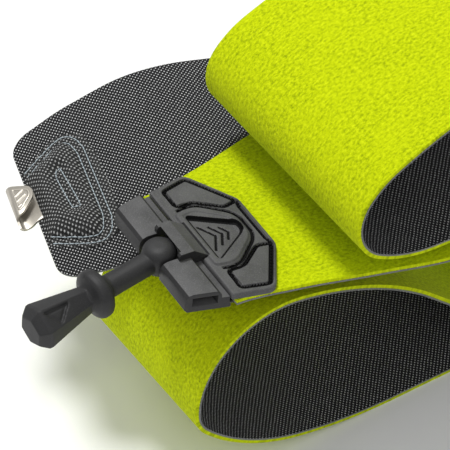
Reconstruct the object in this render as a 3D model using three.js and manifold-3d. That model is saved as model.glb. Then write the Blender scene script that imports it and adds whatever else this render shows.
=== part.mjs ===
// A climbing skin for ski touring, folded up loosely on a table: one long plush strip with a moulded
// tip connector and rubber toggle at one end and a metal tail hook at the other.
// Millimetres, +Z up. +X runs along the folded stack from the tip end, +Y towards its far side.
import * as THREE from 'three';
import { mergeVertices } from 'three/addons/utils/BufferGeometryUtils.js';
import Module from 'manifold-3d';

const wasm = await Module();
wasm.setup();

// ---- driving dimensions ------------------------------------------------------------------------
const PLUSH = 1.3;              // thickness of the plush layer
const BACKING = 0.6;            // thickness of the woven adhesive backing
const GAP = 0.3;                // clearance between pieces that touch
const SKIN = PLUSH + GAP + BACKING;
const TIP_RUN = 165.4;          // plate's back edge to the first fold
const TAIL_RUN = 42;            // last bend to the tail's end
const TIP_START = 3.4;          // where the skin begins, in front of the housing
const TIP_HINGE = 35;           // station where the tip section flexes
const TAIL_HINGE = 34;          // distance from the tail's end where the tail section flexes
const HINGE_GAP = 1.2;          // slit between two sections that flex
const CUT_GAP = 0.3;            // slit between two sections of one body
const TAIL_CORNER = 9;          // radius of the tail's corners
const TIP_YAW = -2.8;           // the connector sits slightly askew on the skin, in degrees

// The folded path starts on the table, on the bottom pass, and is followed both ways from there.
// Each row: straight run, bend radius, bend angle (positive turns +X towards +Z), slant of the fold.
const START = 110;
const TO_TIP = [
  [100, 57, 90, 0],              // bottom pass, then the outer bend
  [0, 98, 90, 0],
  [20, 180, 24, 0],              // top pass
  [0, 35, 25, -1.2],            // left fold of the upper loop
  [0, 19, 100, -1.2],
  [0, 50, 29, -1.2],
  [92, 5.5, -183.2, -0.7],      // tight fold back to the tip pass
];
const TO_TAIL = [
  [18, 172, -15, 0],            // left fold of the lower loop
  [0, 84, -36, 0],
  [0, 17, -39, 0],
  [0, 37, -103, 0],
  [0, 132, -31, 0],             // over the crest and down
  [38, 52, 45.5, 0],             // back onto the bottom pass
  [48, 5, 180, 8],               // tight slanted fold, which fans the tail out
  [12, 45, -53, 0],              // up over the lower loop
  [34, 50, 45.5, 0],
  [56, 85, 24, 2],               // free end droops
];

const radians = THREE.MathUtils.degToRad;

function bendsOf(rows) {
  const bends = [];
  let station = 0;
  for (const [run, radius, degrees, slant] of rows) {
    station += run;
    const angle = Math.abs(radians(degrees));
    bends.push({ start: station, radius, angle, sign: Math.sign(degrees), slant: radians(slant) });
    station += radius * angle;
  }
  return { bends, length: station };
}

const tipSide = bendsOf(TO_TIP);
const tailSide = bendsOf(TO_TAIL);
const BEFORE = tipSide.length + TIP_RUN;          // strip between the tip and the start point
const TOTAL = BEFORE + tailSide.length + TAIL_RUN;

// Half the strip's width, eased between a few stations along its length.
const WIDTHS = [
  [0, 31], [24, 35], [54, 42.5], [84, 49], [114, 50.5], [204, 50.5], [334, 48.5], [600, 42],
  [850, 34], [1050, 33.5], [1200, 39], [TOTAL - 55, 46], [TOTAL - 25, 43.5], [TOTAL, 38.5],
];

function halfWidth(station) {
  const s = THREE.MathUtils.clamp(station, 0, TOTAL);
  let i = 1;
  while (WIDTHS[i][0] < s) i += 1;
  const slope = (k) => {
    if (k <= 0 || k >= WIDTHS.length - 1) return 0;
    const before = (WIDTHS[k][1] - WIDTHS[k - 1][1]) / (WIDTHS[k][0] - WIDTHS[k - 1][0]);
    const after = (WIDTHS[k + 1][1] - WIDTHS[k][1]) / (WIDTHS[k + 1][0] - WIDTHS[k][0]);
    return before * after > 0 ? (2 * before * after) / (before + after) : 0;
  };
  const [a, wa] = WIDTHS[i - 1];
  const [b, wb] = WIDTHS[i];
  const span = b - a;
  const u = (s - a) / span;
  const ease = u * u * (3 - 2 * u);
  let half = wa + (wb - wa) * ease + span * (slope(i - 1) * u * (1 - u) ** 2 - slope(i) * u * u * (1 - u));
  const left = TOTAL - s;
  if (left < TAIL_CORNER) half -= TAIL_CORNER - Math.sqrt(TAIL_CORNER ** 2 - (TAIL_CORNER - left) ** 2);
  return half;
}

// Follows one side of the path: a point s along it, w across it and t inwards from the plush face.
function follow({ bends }, direction, s, w, t) {
  const along = new THREE.Vector3(direction, 0, 0);
  const across = new THREE.Vector3(0, 1, 0);
  const up = along.clone().cross(across);
  const origin = new THREE.Vector3(START, 0, 0);
  const height = direction * t;
  for (const { start, radius, angle, sign, slant } of bends) {
    const n = [Math.cos(slant), -Math.sin(slant)];
    const depth = (s - start) * n[0] + w * n[1];
    const aside = (s - start) * Math.sin(slant) + w * Math.cos(slant);
    if (depth <= 0) break;
    const forward = along.clone().multiplyScalar(n[0]).addScaledVector(across, n[1]);
    const ruling = along.clone().multiplyScalar(Math.sin(slant)).addScaledVector(across, Math.cos(slant));
    const centre = origin.clone().addScaledVector(along, start);
    if (depth < radius * angle) {
      const a = depth / radius;
      const reach = radius - sign * height;
      return centre
        .addScaledVector(ruling, aside)
        .addScaledVector(forward, reach * Math.sin(a))
        .addScaledVector(up, sign * (radius - reach * Math.cos(a)));
    }
    const turned = forward.clone().multiplyScalar(Math.cos(angle)).addScaledVector(up, sign * Math.sin(angle));
    const raised = up.clone().multiplyScalar(Math.cos(angle)).addScaledVector(forward, -sign * Math.sin(angle));
    centre
      .addScaledVector(forward, radius * Math.sin(angle))
      .addScaledVector(up, sign * radius * (1 - Math.cos(angle)))
      .addScaledVector(turned, -radius * angle);
    along.copy(turned).multiplyScalar(n[0]).addScaledVector(ruling, Math.sin(slant));
    across.copy(turned).multiplyScalar(n[1]).addScaledVector(ruling, Math.cos(slant));
    up.copy(raised);
    origin.copy(centre).addScaledVector(along, -start);
  }
  return origin.addScaledVector(along, s).addScaledVector(across, w).addScaledVector(up, height);
}

// A point of the strip by its station from the plate's back edge.
function place(station, w, t) {
  return station < BEFORE
    ? follow(tipSide, 1, BEFORE - station, w, t)
    : follow(tailSide, -1, station - BEFORE, w, t);
}

// The rows of points across the strip: closer together in the bends, and slanted as their fold is.
// Both layers share them, so that the faceted layers stay parallel.
function allRows() {
  const bent = [];
  for (const [side, sign] of [[tipSide, -1], [tailSide, 1]]) {
    for (const { start, radius, angle, slant } of side.bends) {
      const steps = Math.max(2, Math.ceil(angle / radians(15)));
      for (let k = 0; k <= steps; k += 1) {
        bent.push({ station: BEFORE + sign * (start + (radius * angle * k) / steps), slant: sign * slant });
      }
    }
  }
  const plain = [];
  for (let s = 20; s < TOTAL - 12; s += 25) plain.push(s);
  const rows = plain
    .filter((s) => bent.every((row) => Math.abs(row.station - s) > 12))
    .map((station) => ({ station, slant: 0 }))
    .concat(bent, [0.4, 1.4, 3.2, 6, TAIL_CORNER].map((left) => ({ station: TOTAL - left, slant: 0 })))
    .sort((one, other) => one.station - other.station);
  return rows.filter((row, i) => i === 0 || row.station - rows[i - 1].station > 0.3);
}

const ROWS = allRows();

function rowsBetween(from, to) {
  const inside = ROWS.filter(({ station }) => station > from + 1 && station < to - 0.3);
  return [{ station: from, slant: 0 }, ...inside, { station: to, slant: 0 }];
}

const ACROSS = [-1, -0.5, 0, 0.5, 1];

// A layer of the strip between two stations and two depths below the plush face.
function layer(from, to, outer, inner) {
  const rows = rowsBetween(from, to);
  const positions = [];
  for (const depth of [outer, inner]) {
    for (const { station, slant } of rows) {
      for (const share of ACROSS) {
        const s = THREE.MathUtils.clamp(station + share * halfWidth(station) * Math.tan(slant), 0, TOTAL);
        positions.push(...place(s, share * halfWidth(s), depth));
      }
    }
  }
  const wide = ACROSS.length;
  const at = (face, row, column) => (face * rows.length + row) * wide + column;
  const index = [];
  const quad = (a, b, c, d) => index.push(a, b, c, a, c, d);
  for (let r = 0; r + 1 < rows.length; r += 1) {
    for (let c = 0; c + 1 < wide; c += 1) {
      quad(at(0, r, c), at(0, r, c + 1), at(0, r + 1, c + 1), at(0, r + 1, c));
      quad(at(1, r, c), at(1, r + 1, c), at(1, r + 1, c + 1), at(1, r, c + 1));
    }
    quad(at(0, r, 0), at(0, r + 1, 0), at(1, r + 1, 0), at(1, r, 0));
    quad(at(0, r + 1, wide - 1), at(0, r, wide - 1), at(1, r, wide - 1), at(1, r + 1, wide - 1));
  }
  const last = rows.length - 1;
  for (let c = 0; c + 1 < wide; c += 1) {
    quad(at(0, 0, c + 1), at(0, 0, c), at(1, 0, c), at(1, 0, c + 1));
    quad(at(0, last, c), at(0, last, c + 1), at(1, last, c + 1), at(1, last, c));
  }
  return facingOut(positions, index);
}

// ---- solid modelling helpers -------------------------------------------------------------------
function facingOut(positions, index) {
  let volume = 0;
  const p = (i) => new THREE.Vector3(positions[3 * i], positions[3 * i + 1], positions[3 * i + 2]);
  for (let i = 0; i < index.length; i += 3) {
    volume += p(index[i]).dot(p(index[i + 1]).cross(p(index[i + 2])));
  }
  if (volume < 0) index.reverse();
  const geometry = new THREE.BufferGeometry();
  geometry.setAttribute('position', new THREE.Float32BufferAttribute(positions, 3));
  geometry.setIndex(index);
  return geometry;
}

function solid(geometry) {
  const bare = geometry.clone();
  bare.deleteAttribute('normal');
  bare.deleteAttribute('uv');
  const merged = mergeVertices(bare, 1e-4);
  return new wasm.Manifold(new wasm.Mesh({
    numProp: 3,
    vertProperties: new Float32Array(merged.attributes.position.array),
    triVerts: new Uint32Array(merged.index.array),
  }));
}

function geometryOf(manifold) {
  const mesh = manifold.getMesh();
  const geometry = new THREE.BufferGeometry();
  geometry.setAttribute('position', new THREE.BufferAttribute(new Float32Array(mesh.vertProperties), 3));
  geometry.setIndex(Array.from(mesh.triVerts));
  return geometry;
}

// A closed outline from corners [x, y, radius].
function rounded(corners) {
  const shape = new THREE.Shape();
  corners.forEach(([x, y, r], i) => {
    const before = corners[(i + corners.length - 1) % corners.length];
    const after = corners[(i + 1) % corners.length];
    const corner = new THREE.Vector2(x, y);
    const back = new THREE.Vector2(before[0], before[1]).sub(corner).setLength(r).add(corner);
    const on = new THREE.Vector2(after[0], after[1]).sub(corner).setLength(r).add(corner);
    if (i === 0) shape.moveTo(back.x, back.y);
    else shape.lineTo(back.x, back.y);
    if (r > 0) shape.quadraticCurveTo(x, y, on.x, on.y);
  });
  shape.closePath();
  return shape;
}

const outlineOf = (points) => new THREE.Shape(points.map(([x, y]) => new THREE.Vector2(x, y)));

// Points round an arc, in degrees from one angle to the other.
function arc(x, y, radius, from, to, steps) {
  return Array.from({ length: steps + 1 }, (_, k) => {
    const a = radians(from + ((to - from) * k) / steps);
    return [x + radius * Math.cos(a), y + radius * Math.sin(a)];
  });
}

const mirrored = (corners) => [...corners, ...corners.map(([x, y, r]) => [x, -y, r]).reverse()];

function slab(shape, low, high, curveSegments = 4) {
  const geometry = new THREE.ExtrudeGeometry(shape, { depth: high - low, bevelEnabled: false, curveSegments });
  return geometry.translate(0, 0, low);
}

// An outline in the x-z plane, extruded along y between two values.
function sideways(shape, from, to, curveSegments = 5) {
  const geometry = new THREE.ExtrudeGeometry(shape, { depth: to - from, bevelEnabled: false, curveSegments });
  return geometry.rotateX(Math.PI / 2).translate(0, to, 0);
}

function block(x0, x1, y0, y1, z0, z1) {
  const geometry = new THREE.BoxGeometry(x1 - x0, y1 - y0, z1 - z0);
  return geometry.translate((x0 + x1) / 2, (y0 + y1) / 2, (z0 + z1) / 2);
}

// A rod along y.
function rod(x, z, radius, from, to, sides = 16) {
  return new THREE.CylinderGeometry(radius, radius, to - from, sides).translate(x, (from + to) / 2, z);
}

// A flat-bottomed band of one width along a polyline, used for grooves and for thread.
function band(points, width, low, high) {
  let whole = null;
  const join = (geometry) => {
    const piece = solid(geometry);
    whole = whole ? whole.add(piece) : piece;
  };
  points.forEach(([x, y], i) => {
    join(new THREE.CylinderGeometry(width / 2, width / 2, high - low, 8)
      .rotateX(Math.PI / 2).translate(x, y, (low + high) / 2));
    if (i === 0) return;
    const [px, py] = points[i - 1];
    const length = Math.hypot(x - px, y - py);
    join(new THREE.BoxGeometry(length, width, high - low)
      .rotateZ(Math.atan2(y - py, x - px)).translate((x + px) / 2, (y + py) / 2, (low + high) / 2));
  });
  return whole;
}

// ---- scene graph -------------------------------------------------------------------------------
const finish = (color, roughness, metalness) => new THREE.MeshStandardMaterial({ color, roughness, metalness });
const PLUSH_LIME = finish(0xc9dc14, 0.9, 0);
const WOVEN_BLACK = finish(0x2b2b2c, 0.7, 0);
const MOULDED_GREY = finish(0x55565a, 0.55, 0);
const RUBBER = finish(0x242526, 0.6, 0);
const NICKEL = finish(0xcdc8ba, 0.35, 1);
const STEEL = finish(0x9a9b9e, 0.3, 1);
const BLACK_THREAD = finish(0x18181a, 0.8, 0);
const GREY_THREAD = finish(0xaab5b8, 0.7, 0);
const PATCH_WEAVE = finish(0x6c7071, 0.75, 0);
const FOAM = finish(0x3a3a3a, 0.9, 0);

const skins = new THREE.Group();

function piece(parent, name, geometry, material) {
  const mesh = new THREE.Mesh(geometry, material);
  mesh.name = name;
  parent.add(mesh);
}

// A group whose +x runs into the skin from one of its ends, +y across it and +z out of its upper face.
function frameAt(station, into, depth, yaw = 0) {
  const origin = place(station, 0, depth);
  const x = place(station + into, 0, depth).sub(origin).normalize();
  const y = place(station, 1, depth).sub(origin).normalize();
  const z = x.clone().cross(y);
  x.applyAxisAngle(z, radians(yaw));
  y.copy(z).cross(x);
  const group = new THREE.Group();
  group.matrixAutoUpdate = false;
  group.matrix.makeBasis(x, y, z).setPosition(origin);
  skins.add(group);
  return group;
}

// ---- the skin's two layers ---------------------------------------------------------------------
const SECTIONS = [
  ['tip', TIP_START, TIP_HINGE - HINGE_GAP / 2],
  ['tip_pass', TIP_HINGE + HINGE_GAP / 2, 200],
  ['upper_loop', 200 + CUT_GAP, 427],
  ['outer_bend', 427 + CUT_GAP, 730],
  ['lower_loop', 730 + CUT_GAP, 1140],
  ['rear_pass', 1140 + CUT_GAP, TOTAL - TAIL_HINGE - HINGE_GAP / 2],
  ['tail', TOTAL - TAIL_HINGE + HINGE_GAP / 2, TOTAL],
];
for (const [name, from, to] of SECTIONS) {
  piece(skins, `skin_plush_${name}`, layer(from, to, 0, PLUSH), PLUSH_LIME);
}
const BACKINGS = [
  ['tip', SECTIONS[0][1], SECTIONS[0][2]],
  ['main', SECTIONS[1][1], SECTIONS[5][2]],
  ['tail', SECTIONS[6][1], SECTIONS[6][2]],
];
for (const [name, from, to] of BACKINGS) {
  piece(skins, `skin_backing_${name}`, layer(from, to, PLUSH + GAP, SKIN), WOVEN_BLACK);
}

// ---- tip connector: plate, clamp plate, housing, cross pin and rubber toggle ---------------------
const tip = frameAt(0, 1, 0, TIP_YAW);
const PLATE_LOW = GAP;
const PLATE_TOP = 2.5;
const GROOVE_FLOOR = 1.7;
const GROOVE = 1.6;
const FAR_GROOVE = [[24.5, 15.5], [14.5, 30], [4, 27.5], [4.4, 19], [10.5, 18.8], [20.5, 10.8]];
const NEAR_GROOVE = FAR_GROOVE.map(([x, y]) => [x, -y]);
const FRONT_GROOVE = [[24.6, 12.5], [23.4, 8.5], [23.4, -8.5], [24.6, -12.5]];
const RING = mirrored([[1.6, 15, 2], [10, 16.4, 4], [22, 6, 4]]);
const RECESS = mirrored([[4.8, 13.2, 2.5], [21, 2.6, 2.2]]);
const BRIDGE_HALF = 9;
const BRIDGE_END = 2.4;

let plate = solid(slab(rounded(mirrored([[0, 30, 0.8], [16, 33.4, 3.5], [28, 13.2, 1.5]])), PLATE_LOW, PLATE_TOP));
plate = plate.add(solid(slab(rounded(RING), PLATE_LOW + 0.4, PLATE_TOP + 0.7)));
plate = plate.subtract(solid(slab(rounded(RECESS), PLATE_TOP - 0.9, PLATE_TOP + 2)));
for (const route of [FAR_GROOVE, NEAR_GROOVE, FRONT_GROOVE]) {
  plate = plate.subtract(band(route, GROOVE, GROOVE_FLOOR, PLATE_TOP + 2));
}
plate = plate.subtract(solid(block(-1, BRIDGE_END + GAP, -BRIDGE_HALF - GAP, BRIDGE_HALF + GAP, -1, 6)));
piece(tip, 'tip_plate', geometryOf(plate), MOULDED_GREY);

for (const [name, route] of [['far', FAR_GROOVE], ['near', NEAR_GROOVE], ['front', FRONT_GROOVE]]) {
  const thread = band(route, 0.7, GROOVE_FLOOR + 0.1, GROOVE_FLOOR + 0.6);
  piece(tip, `plate_thread_${name}`, geometryOf(thread), BLACK_THREAD);
}

const CLAMP = mirrored([[0.6, 28, 0.8], [13, 30, 3], [20, 20, 2]]);
piece(tip, 'clamp_plate', slab(rounded(CLAMP), -SKIN - GAP - 1.2, -SKIN - GAP), MOULDED_GREY);

const PIN_X = -12.3;
const PIN_Z = 0.4;
const EYE_RADIUS = 6.7;         // the toggle's round end, across the pin
const EYE_RISE = 6.4;           // and above and below it
const POCKET = 8;
const HOUSING_LOW = -SKIN - GAP - 1.2;
const SIDE = outlineOf([
  [0.2, HOUSING_LOW], [0.2, -SKIN], [-0.3, -SKIN], [-0.3, 1.2], [-3.2, 1.2], [-3.4, 2.9], [-5, 4.5],
  [-13.4, 4.5], [-15, 3.9], [-16, 2.7], [-16.3, 1.2], [-16.3, HOUSING_LOW + 1.2], [-15.3, HOUSING_LOW],
]);
const BRIDGE = outlineOf([
  [-9, 0], [-0.3, 0], [-0.3, GAP], [BRIDGE_END, GAP], [BRIDGE_END, 3], [-3.6, 7.2], [-8.8, 7.2], [-9.6, 6.2],
]);
const TAPER = rounded([[-17, 25.2, 1], [1, 29.6, 0], [1, -29.6, 0], [-17, -25.2, 1]]);
let housing = solid(sideways(SIDE, -30, 30)).intersect(solid(slab(TAPER, -10, 10)));
housing = housing.add(solid(sideways(BRIDGE, -BRIDGE_HALF, BRIDGE_HALF)));
housing = housing.subtract(solid(rod(PIN_X, PIN_Z, POCKET, -EYE_RADIUS - 0.6, EYE_RADIUS + 0.6, 24)));
housing = housing.subtract(solid(block(-20, PIN_X, -EYE_RADIUS - 0.6, EYE_RADIUS + 0.6, -8, 8)));
housing = housing.subtract(solid(rod(PIN_X, PIN_Z, 1.8, -13.3, 13.3, 12)));
for (const side of [-1, 1]) {
  const ends = [side * 16, side * 31].sort((a, b) => a - b);
  housing = housing.subtract(solid(block(-13.6, -4.6, ends[0], ends[1], -1.2, 2.6)));
}
piece(tip, 'connector_housing', geometryOf(housing), MOULDED_GREY);
piece(tip, 'toggle_cross_pin', rod(PIN_X, PIN_Z, 1.5, -13, 13, 12), STEEL);

const DROOP = radians(6);
const BEND = radians(9);         // the rubber is bent a little towards the near side
const stub = [
  [0, 3], [4.2, 3], [4.2, 23.5], [5.4, 25], [8.6, 26.2], [9.3, 27.5], [9.3, 29.5], [8.6, 30.8], [5.4, 32.5], [0, 33],
].map(([r, x]) => new THREE.Vector2(r, x));
const grip = [[0, 31], [5, 31.5], [5.8, 38], [9.4, 53], [7.4, 57], [0, 57]].map(([r, x]) => new THREE.Vector2(r, x));
const knob = Array.from({ length: 13 }, (_, k) => {
  const z = -Math.cos((Math.PI * k) / 12);
  return new THREE.Vector2(k % 12 === 0 ? 0 : EYE_RADIUS * (1 - Math.abs(z) ** 3) ** (1 / 3), EYE_RISE * z);
});
let toggle = solid(new THREE.LatheGeometry(stub, 16).rotateZ(Math.PI / 2 + BEND));
toggle = toggle.add(solid(new THREE.LatheGeometry(grip, 6).rotateZ(Math.PI / 2 + BEND)));
toggle = toggle.add(solid(new THREE.LatheGeometry(knob, 20).rotateX(Math.PI / 2)));
toggle = toggle.subtract(solid(rod(0, 0, 1.8, -9, 9, 12)));
const toggleGeometry = geometryOf(toggle).rotateY(-DROOP).translate(PIN_X, 0, PIN_Z);
piece(tip, 'rubber_toggle', toggleGeometry, RUBBER);

// ---- tail: hook, padded patch and its stitching --------------------------------------------------
const tail = frameAt(TOTAL, -1, 0);
const FACE = SKIN + GAP;        // just above the woven face
const METAL = 0.9;
const HOOK_Y = 2.2;             // the hook sits a little off the centreline
const HOOK_HALF = 10;
const HOOK_REACH = 7;
const JAW = 1.6;                // inside radius of the hook's bend
const PATCH = mirrored([[0.8, 20, 1], [18, 31.5, 6], [28, 27, 5], [30, 12, 2]]);
const PATCH_RISE = 2.6;
const CLOTH = 0.6;

// The strap lies flat under the patch, turns up round the jaw and folds back as a flap above it.
const bendX = -HOOK_REACH + JAW + METAL;
const middle = FACE + METAL + JAW;
const hookProfile = outlineOf([
  [12, FACE], [12, FACE + METAL], ...arc(bendX, middle, JAW, 270, 90, 8),
  [3, middle + JAW], [3, middle + JAW + METAL], ...arc(bendX, middle, JAW + METAL, 90, 270, 10),
]);
const flap = rounded([
  [-8, 10, 0], [-4.5, 9.8, 1.5], [2.6, 6, 2], [2.8, 1, 2], [-3.4, -5.6, 2], [-8, -5.8, 0],
].map(([x, y, r]) => [x, y + HOOK_Y, r]));
const strap = rounded([
  [-8, HOOK_HALF, 0], [-2.4, HOOK_HALF, 1.5], [0, 8.2, 2], [12, 8.2, 2], [12, -8.2, 2], [0, -8.2, 2], [-2.4, -HOOK_HALF, 1.5],
  [-8, -HOOK_HALF, 0],
].map(([x, y, r]) => [x, y + HOOK_Y, r]));
const outline = solid(slab(flap, middle, middle + 10)).add(solid(slab(strap, middle - 10, middle)));
let hook = solid(sideways(hookProfile, HOOK_Y - HOOK_HALF, HOOK_Y + HOOK_HALF)).intersect(outline);
hook = hook.subtract(solid(block(5, 8, HOOK_Y - 5, HOOK_Y + 5, 0, 6)));
piece(tail, 'tail_hook', geometryOf(hook), NICKEL);

// A closed cushion over an outline: rings of points shrink to the middle while the height follows rise().
const RINGS = [1, 0.94, 0.88, 0.8, 0.68, 0.5, 0.25];
function quilt(shape, centre, under, over, shares = RINGS) {
  const rim = shape.getSpacedPoints(36).slice(0, 36);
  const positions = [];
  for (const height of [under, over]) {
    for (const share of shares) {
      for (const p of rim) {
        const x = centre[0] + (p.x - centre[0]) * share;
        const y = centre[1] + (p.y - centre[1]) * share;
        positions.push(x, y, height(share));
      }
    }
    positions.push(centre[0], centre[1], height(0));
  }
  const count = rim.length;
  const face = shares.length * count + 1;
  const index = [];
  for (let i = 0; i < count; i += 1) {
    const j = (i + 1) % count;
    for (const [base, flip] of [[0, true], [face, false]]) {
      for (let r = 0; r < shares.length; r += 1) {
        const a = base + r * count + i;
        const b = base + r * count + j;
        const last = r + 1 === shares.length;
        const c = last ? base + face - 1 : base + (r + 1) * count + j;
        const d = last ? c : base + (r + 1) * count + i;
        const triangles = last ? [[a, b, c]] : [[a, b, c], [a, c, d]];
        for (const [p, q, s] of triangles) index.push(...(flip ? [q, p, s] : [p, q, s]));
      }
    }
    index.push(i, j, face + j, i, face + j, face + i);
  }
  return facingOut(positions, index);
}

const PAD_LOW = FACE + METAL + GAP;
const dome = (share) => PAD_LOW + PATCH_RISE * Math.max(0, 1 - (share / 0.74) ** 4);
const cushion = rounded(PATCH);
const patchUnder = (share) => dome(share) + GAP + (share > 0.9 ? 0 : 0.25);
piece(tail, 'tail_patch', quilt(cushion, [16, 0], patchUnder, (share) => patchUnder(share) + CLOTH), PATCH_WEAVE);
const padShape = rounded(mirrored([[6, 14, 2], [17, 21, 5], [24, 17, 4]]));
const padTop = (share) => Math.max(PAD_LOW + 0.35, PAD_LOW + PATCH_RISE * (1 - share ** 4));
piece(tail, 'tail_pad', quilt(padShape, [16, 0], () => PAD_LOW, padTop, [1, 0.9, 0.75, 0.5, 0.25]), FOAM);

// Thread lies on the patch, following its surface.
function threadOn(points) {
  const route = new THREE.CatmullRomCurve3(points.map(([x, y, z]) => new THREE.Vector3(x, y, z)), false, 'centripetal');
  const dot = new THREE.Shape();
  dot.absarc(0, 0, 0.35, 0, 2 * Math.PI);
  return new THREE.ExtrudeGeometry(dot, {
    steps: points.length * 2, bevelEnabled: false, extrudePath: route, curveSegments: 4,
  });
}
const FLAT = PAD_LOW + GAP + CLOTH + 0.95;
const row = (inset) => mirrored([[2, 19.5 - inset], [11, 25 - inset], [19, 28 - inset], [24.5 - inset / 2, 26 - inset], [26.5 - inset, 20 - inset]])
  .map(([x, y]) => [x, y, FLAT + inset * 0.62]);
piece(tail, 'tail_stitch_outer', threadOn(row(0)), GREY_THREAD);
piece(tail, 'tail_stitch_inner', threadOn(row(2.4)), GREY_THREAD);
const TOP = PAD_LOW + PATCH_RISE + GAP + CLOTH + 0.85;
const loop = [[12.5, 8], [13.2, 9.6], [14.6, 10], [16, 8.5], [15.4, -8.5], [14, -10], [12.6, -8.5], [12.4, 6]];
piece(tail, 'tail_stitch_centre', threadOn(loop.map(([x, y]) => [x, y, TOP])), GREY_THREAD);

// The origin is at the centre of the footprint, on the table.
skins.updateMatrixWorld(true);
const footprint = new THREE.Box3().setFromObject(skins, true);
skins.position.set(-(footprint.min.x + footprint.max.x) / 2, -(footprint.min.y + footprint.max.y) / 2, 0);

export default skins;
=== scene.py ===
"""A folded climbing skin for ski touring: lime plush, dark woven backing, a moulded tip connector with a
rubber toggle, and a metal tail hook on a padded, stitched patch. Metres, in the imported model's frame."""
import math

import bmesh
import bpy
import numpy as np
from mathutils import Matrix, Vector
from mathutils.geometry import delaunay_2d_cdt


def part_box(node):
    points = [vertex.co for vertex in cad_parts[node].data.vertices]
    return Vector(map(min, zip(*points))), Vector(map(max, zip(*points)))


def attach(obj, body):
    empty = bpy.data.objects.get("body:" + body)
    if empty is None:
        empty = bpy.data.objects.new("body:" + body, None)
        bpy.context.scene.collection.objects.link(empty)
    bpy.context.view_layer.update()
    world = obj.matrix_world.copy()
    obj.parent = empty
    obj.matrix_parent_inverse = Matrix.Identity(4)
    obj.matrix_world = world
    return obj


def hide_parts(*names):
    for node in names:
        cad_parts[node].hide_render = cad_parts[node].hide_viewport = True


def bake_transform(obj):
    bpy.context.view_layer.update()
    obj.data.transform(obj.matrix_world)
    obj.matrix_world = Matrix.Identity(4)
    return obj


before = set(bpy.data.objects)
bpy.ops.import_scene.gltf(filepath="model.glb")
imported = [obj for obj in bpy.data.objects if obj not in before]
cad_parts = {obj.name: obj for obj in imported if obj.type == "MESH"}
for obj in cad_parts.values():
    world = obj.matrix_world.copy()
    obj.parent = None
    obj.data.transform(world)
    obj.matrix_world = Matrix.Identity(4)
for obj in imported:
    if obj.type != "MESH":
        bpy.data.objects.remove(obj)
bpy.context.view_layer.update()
MM = 0.001

# ---- driving dimensions, in millimetres ----------------------------------------------------------
PLUSH = 1.45          # plush layer, which meets the backing
SKIN = 2.2            # both layers
TIP_RUN = 165.4
TAIL_RUN = 42
START = 110           # the path is followed both ways from here, on the bottom pass
TIP_PIECE = 58        # the tip piece ends here, past its hinge line
TAIL_PIECE = 70       # the tail piece starts this far from the tail's end
TIP_HINGE = 35
TAIL_HINGE = 34
TIP_YAW = -2.8        # the connector sits slightly askew on the skin, in degrees
TAIL_CORNER = 9
TAIL_TRIM = 1.1       # how far the plush stops short of the backing round the tail
EDGE_LIP = 0.12       # how far the woven backing's cut edge stands out past the plush

# Straight run, bend radius, bend angle and slant of each fold, towards the tip and towards the tail.
TO_TIP = [
    (100, 57, 90, 0),
    (0, 98, 90, 0),
    (20, 180, 24, 0),
    (0, 35, 25, -1.2),
    (0, 19, 100, -1.2),
    (0, 50, 29, -1.2),
    (92, 5.5, -183.2, -0.7),
]
TO_TAIL = [
    (18, 172, -15, 0),
    (0, 84, -36, 0),
    (0, 17, -39, 0),
    (0, 37, -103, 0),
    (0, 132, -31, 0),
    (38, 52, 45.5, 0),
    (48, 5, 180, 8),
    (12, 45, -53, 0),
    (34, 50, 45.5, 0),
    (56, 85, 24, 2),
]


def bends_of(rows):
    bends, station = [], 0.0
    for run, radius, degrees, slant in rows:
        station += run
        angle = math.radians(abs(degrees))
        bends.append((station, radius, angle, math.copysign(1, degrees), math.radians(slant)))
        station += radius * angle
    return bends, station


TIP_BENDS, TIP_LENGTH = bends_of(TO_TIP)
TAIL_BENDS, TAIL_LENGTH = bends_of(TO_TAIL)
BEFORE = TIP_LENGTH + TIP_RUN
TOTAL = BEFORE + TAIL_LENGTH + TAIL_RUN
WIDTHS = [
    (0, 31), (24, 35), (54, 42.5), (84, 49), (114, 50.5), (204, 50.5), (334, 48.5), (600, 42),
    (850, 34), (1050, 33.5), (1200, 39), (TOTAL - 55, 46), (TOTAL - 25, 43.5), (TOTAL, 38.5),
]

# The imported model's origin is at the centre of its footprint, so the path's own zero is found from
# the bottom pass's lowest edge and from the lower loop's left edge, which both lie at zero on it.
loop_low, loop_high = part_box("skin_plush_lower_loop")
PATH_ZERO = np.array([loop_low.x / MM, (loop_low.y + loop_high.y) / 2 / MM, 0.0])


def half_width(station):
    """Half the strip's width at an array of stations."""
    s = np.clip(np.asarray(station, float), 0, TOTAL)
    xs = np.array([x for x, _ in WIDTHS], float)
    ys = np.array([y for _, y in WIDTHS], float)
    rise = np.diff(ys) / np.diff(xs)
    slope = np.zeros(len(xs))
    same = rise[:-1] * rise[1:] > 0
    total = np.where(same, rise[:-1] + rise[1:], 1)
    slope[1:-1] = np.where(same, 2 * rise[:-1] * rise[1:] / total, 0)
    i = np.clip(np.searchsorted(xs, s) - 1, 0, len(xs) - 2)
    span = xs[i + 1] - xs[i]
    u = (s - xs[i]) / span
    half = ys[i] + (ys[i + 1] - ys[i]) * u * u * (3 - 2 * u)
    half += span * (slope[i] * u * (1 - u) ** 2 - slope[i + 1] * u * u * (1 - u))
    left = np.clip(TAIL_CORNER - (TOTAL - s), 0, TAIL_CORNER)
    return half - (TAIL_CORNER - np.sqrt(TAIL_CORNER ** 2 - left ** 2))


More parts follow.
